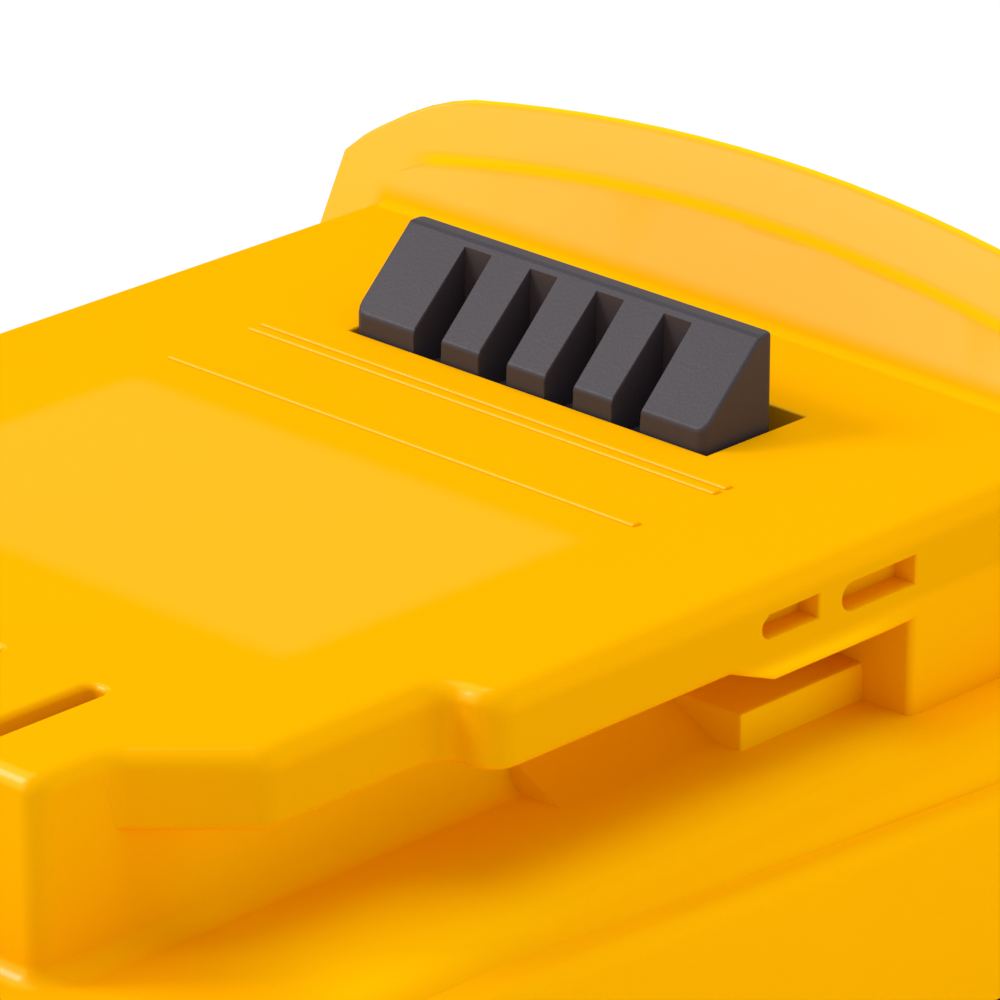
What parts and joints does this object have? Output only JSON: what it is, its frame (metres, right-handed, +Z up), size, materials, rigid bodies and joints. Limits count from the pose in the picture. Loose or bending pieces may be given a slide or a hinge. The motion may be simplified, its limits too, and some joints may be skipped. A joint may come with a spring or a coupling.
{
  "type": "power tool battery pack",
  "caption": "Slide-on rechargeable battery pack with a stepped rail deck, side grooves, terminal slots, a sprung release latch and an arched rear hump.",
  "frame": {"origin": "middle of the pack's footprint, on the resting face", "axes": "+X to the pack's right seen from the thumb button, -Y towards the terminal end, +Z up through the rail deck"},
  "size_m": [0.075, 0.115, 0.0472],
  "materials": {
    "yellow_plastic": "satin moulded plastic with a fine texture",
    "dark_plastic": "satin dark grey moulded plastic",
    "screw_steel": "black coated steel",
    "spring_steel": "bright drawn wire",
    "cell_sleeve": "shrink sleeve",
    "holder_plastic": "moulded plastic",
    "nickel": "plain rolled strip",
    "insulation": "pressed paper",
    "foam": "closed foam",
    "board": "coated board",
    "board_part": "moulded part",
    "contact_metal": "plain rolled strip",
    "ribbon": "flexible film",
    "lens": "milky moulded lens",
    "light": "cast lens"
  },
  "bodies": {
    "housing": {"upper_housing": "yellow_plastic", "lower_housing": "dark_plastic", "housing_screws": "screw_steel", "latch_spring_left": "spring_steel", "latch_spring_right": "spring_steel", "cell_1": "cell_sleeve", "cell_2": "cell_sleeve", "cell_3": "cell_sleeve", "cell_4": "cell_sleeve", "cell_5": "cell_sleeve", "cell_insulators": "insulation", "cell_holder_left": "holder_plastic", "cell_holder_right": "holder_plastic", "strip_negative": "nickel", "strip_1_2": "nickel", "strip_2_3": "nickel", "strip_3_4": "nickel", "strip_4_5": "nickel", "strip_positive": "nickel", "insulation_left": "insulation", "insulation_right": "insulation", "cell_foam": "foam", "control_board": "board", "board_parts": "board_part", "terminal_block": "dark_plastic", "contact_negative": "contact_metal", "contact_signal_1": "contact_metal", "contact_signal_2": "contact_metal", "contact_positive": "contact_metal", "temperature_sensor": "board_part", "sense_ribbon": "ribbon", "gauge_lens": "lens", "gauge_board": "board", "gauge_lights": "light", "gauge_ribbon": "ribbon"},
    "latch": {"release_latch": "dark_plastic"},
    "gauge_push": {"gauge_button": "dark_plastic"}
  },
  "joints": [
    {"name": "latch_slide", "type": "slide", "parent": "housing", "child": "latch", "axis": [0, 0, -1], "range_m": [0, 0.006], "stiffness_N_per_m": 1500, "springref_m": -0.003, "deforming": ["latch_spring_left", "latch_spring_right"]},
    {"name": "gauge_press", "type": "slide", "parent": "housing", "child": "gauge_push", "axis": [0, -1, 0], "range_m": [0, 0.0008], "stiffness_N_per_m": 900, "springref_m": -0.0008}
  ]
}
